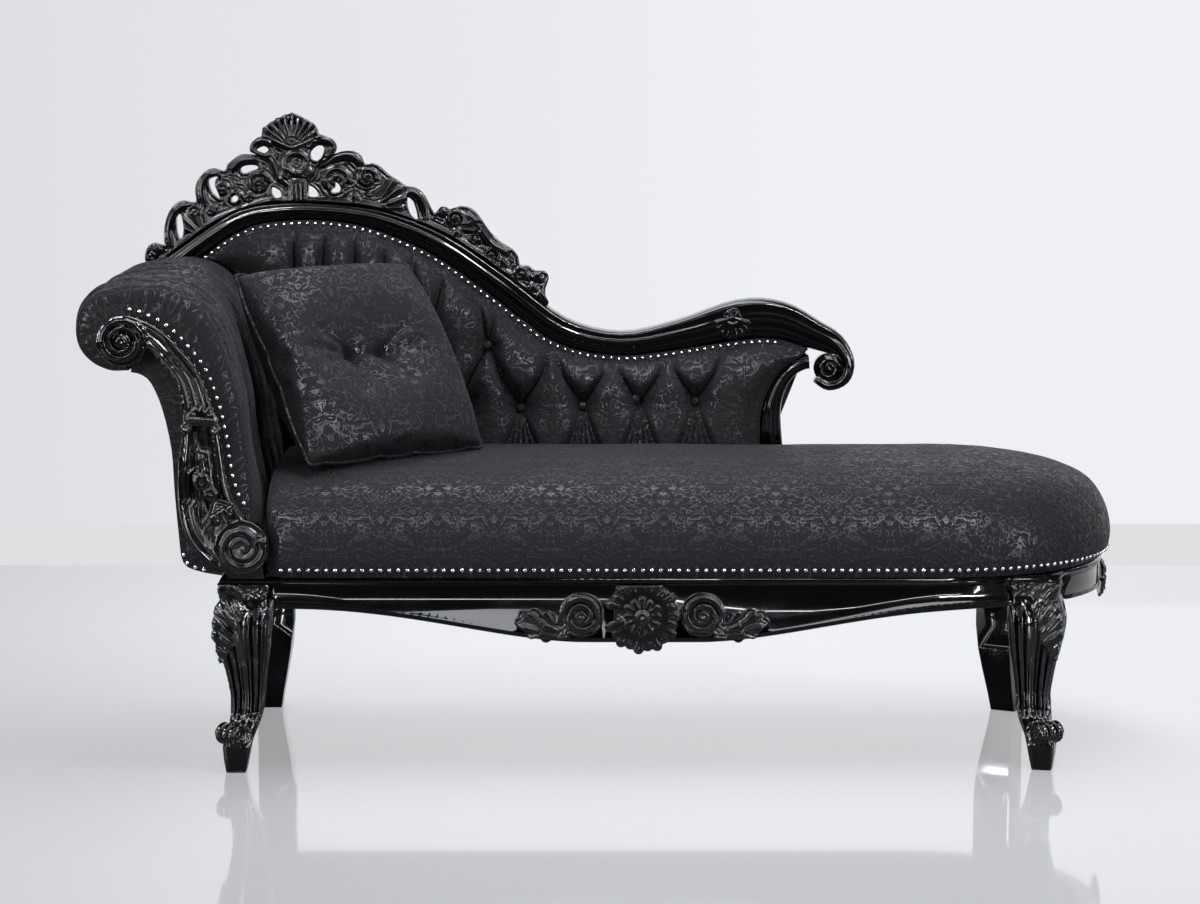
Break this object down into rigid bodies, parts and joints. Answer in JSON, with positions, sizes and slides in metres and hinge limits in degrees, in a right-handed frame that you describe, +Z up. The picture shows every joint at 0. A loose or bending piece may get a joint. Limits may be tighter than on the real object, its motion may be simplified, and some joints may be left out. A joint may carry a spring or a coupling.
{
  "type": "chaise longue",
  "caption": "Carved chaise longue with a rolled arm at the head end, a swept tufted back, an openwork crest, a rounded seat and a loose square cushion.",
  "frame": {"origin": "on the floor, under the middle of the box round the part", "axes": "X from the head end with the arm to the rounded foot end, Y from the open front to the back, Z up"},
  "size_m": [1.7698, 0.67, 1.0946],
  "materials": {
    "lacquer": "carved wood under black high gloss lacquer",
    "damask": "black damask with a slightly lighter scrolling figure",
    "lining": "thin black lining cloth",
    "jute": "jute web and hessian",
    "frame_wood": "bare sawn hardwood",
    "bolt_steel": "zinc plated",
    "nail_nickel": "bright nickel nail heads",
    "jet_button": "black faceted button"
  },
  "bodies": {
    "chaise": {"front_seat_rail": "lacquer", "back_seat_rail": "lacquer", "head_seat_rail": "lacquer", "foot_seat_rail": "lacquer", "seat_frame_moulding": "lacquer", "front_head_leg": "lacquer", "front_foot_leg": "lacquer", "back_head_leg": "lacquer", "back_foot_leg": "lacquer", "corner_blocks": "frame_wood", "leg_bolts": "bolt_steel", "cross_braces": "frame_wood", "webbing_across": "jute", "webbing_along": "jute", "seat_hessian": "jute", "seat_pad": "damask", "seat_nail_trim": "nail_nickel", "dust_cover": "lining", "apron_shell": "lacquer", "apron_scroll_left": "lacquer", "apron_scroll_right": "lacquer", "foot_end_cartouche": "lacquer", "arm_front_post": "frame_wood", "arm_front_lining": "damask", "arm_back_post": "frame_wood", "arm_bottom_rail": "frame_wood", "arm_stuffing_rail": "frame_wood", "arm_top_rail": "frame_wood", "arm_pad": "damask", "arm_outer_panel": "damask", "arm_facing": "lacquer", "arm_facing_band": "lacquer", "arm_facing_leaf": "lacquer", "arm_tuft_buttons": "damask", "arm_nail_trim": "nail_nickel", "back_head_post": "frame_wood", "back_middle_post": "frame_wood", "back_bottom_rail": "frame_wood", "crest_rail": "lacquer", "back_foot_stile": "lacquer", "back_hessian": "jute", "back_tufted_pad": "damask", "back_outer_panel": "damask", "back_tuft_buttons": "damask", "back_nail_trim": "nail_nickel", "crest_shell": "lacquer", "crest_carving_left": "lacquer", "crest_carving_right": "lacquer", "rail_leaf": "lacquer"},
    "cushion": {"pillow": "damask", "pillow_piping": "damask", "pillow_buttons": "jet_button"}
  },
  "joints": [
    {"name": "cushion_lift", "type": "slide", "parent": "chaise", "child": "cushion", "axis": [0.25, -0.6, 0.76], "range_m": [0, 0.8]}
  ]
}
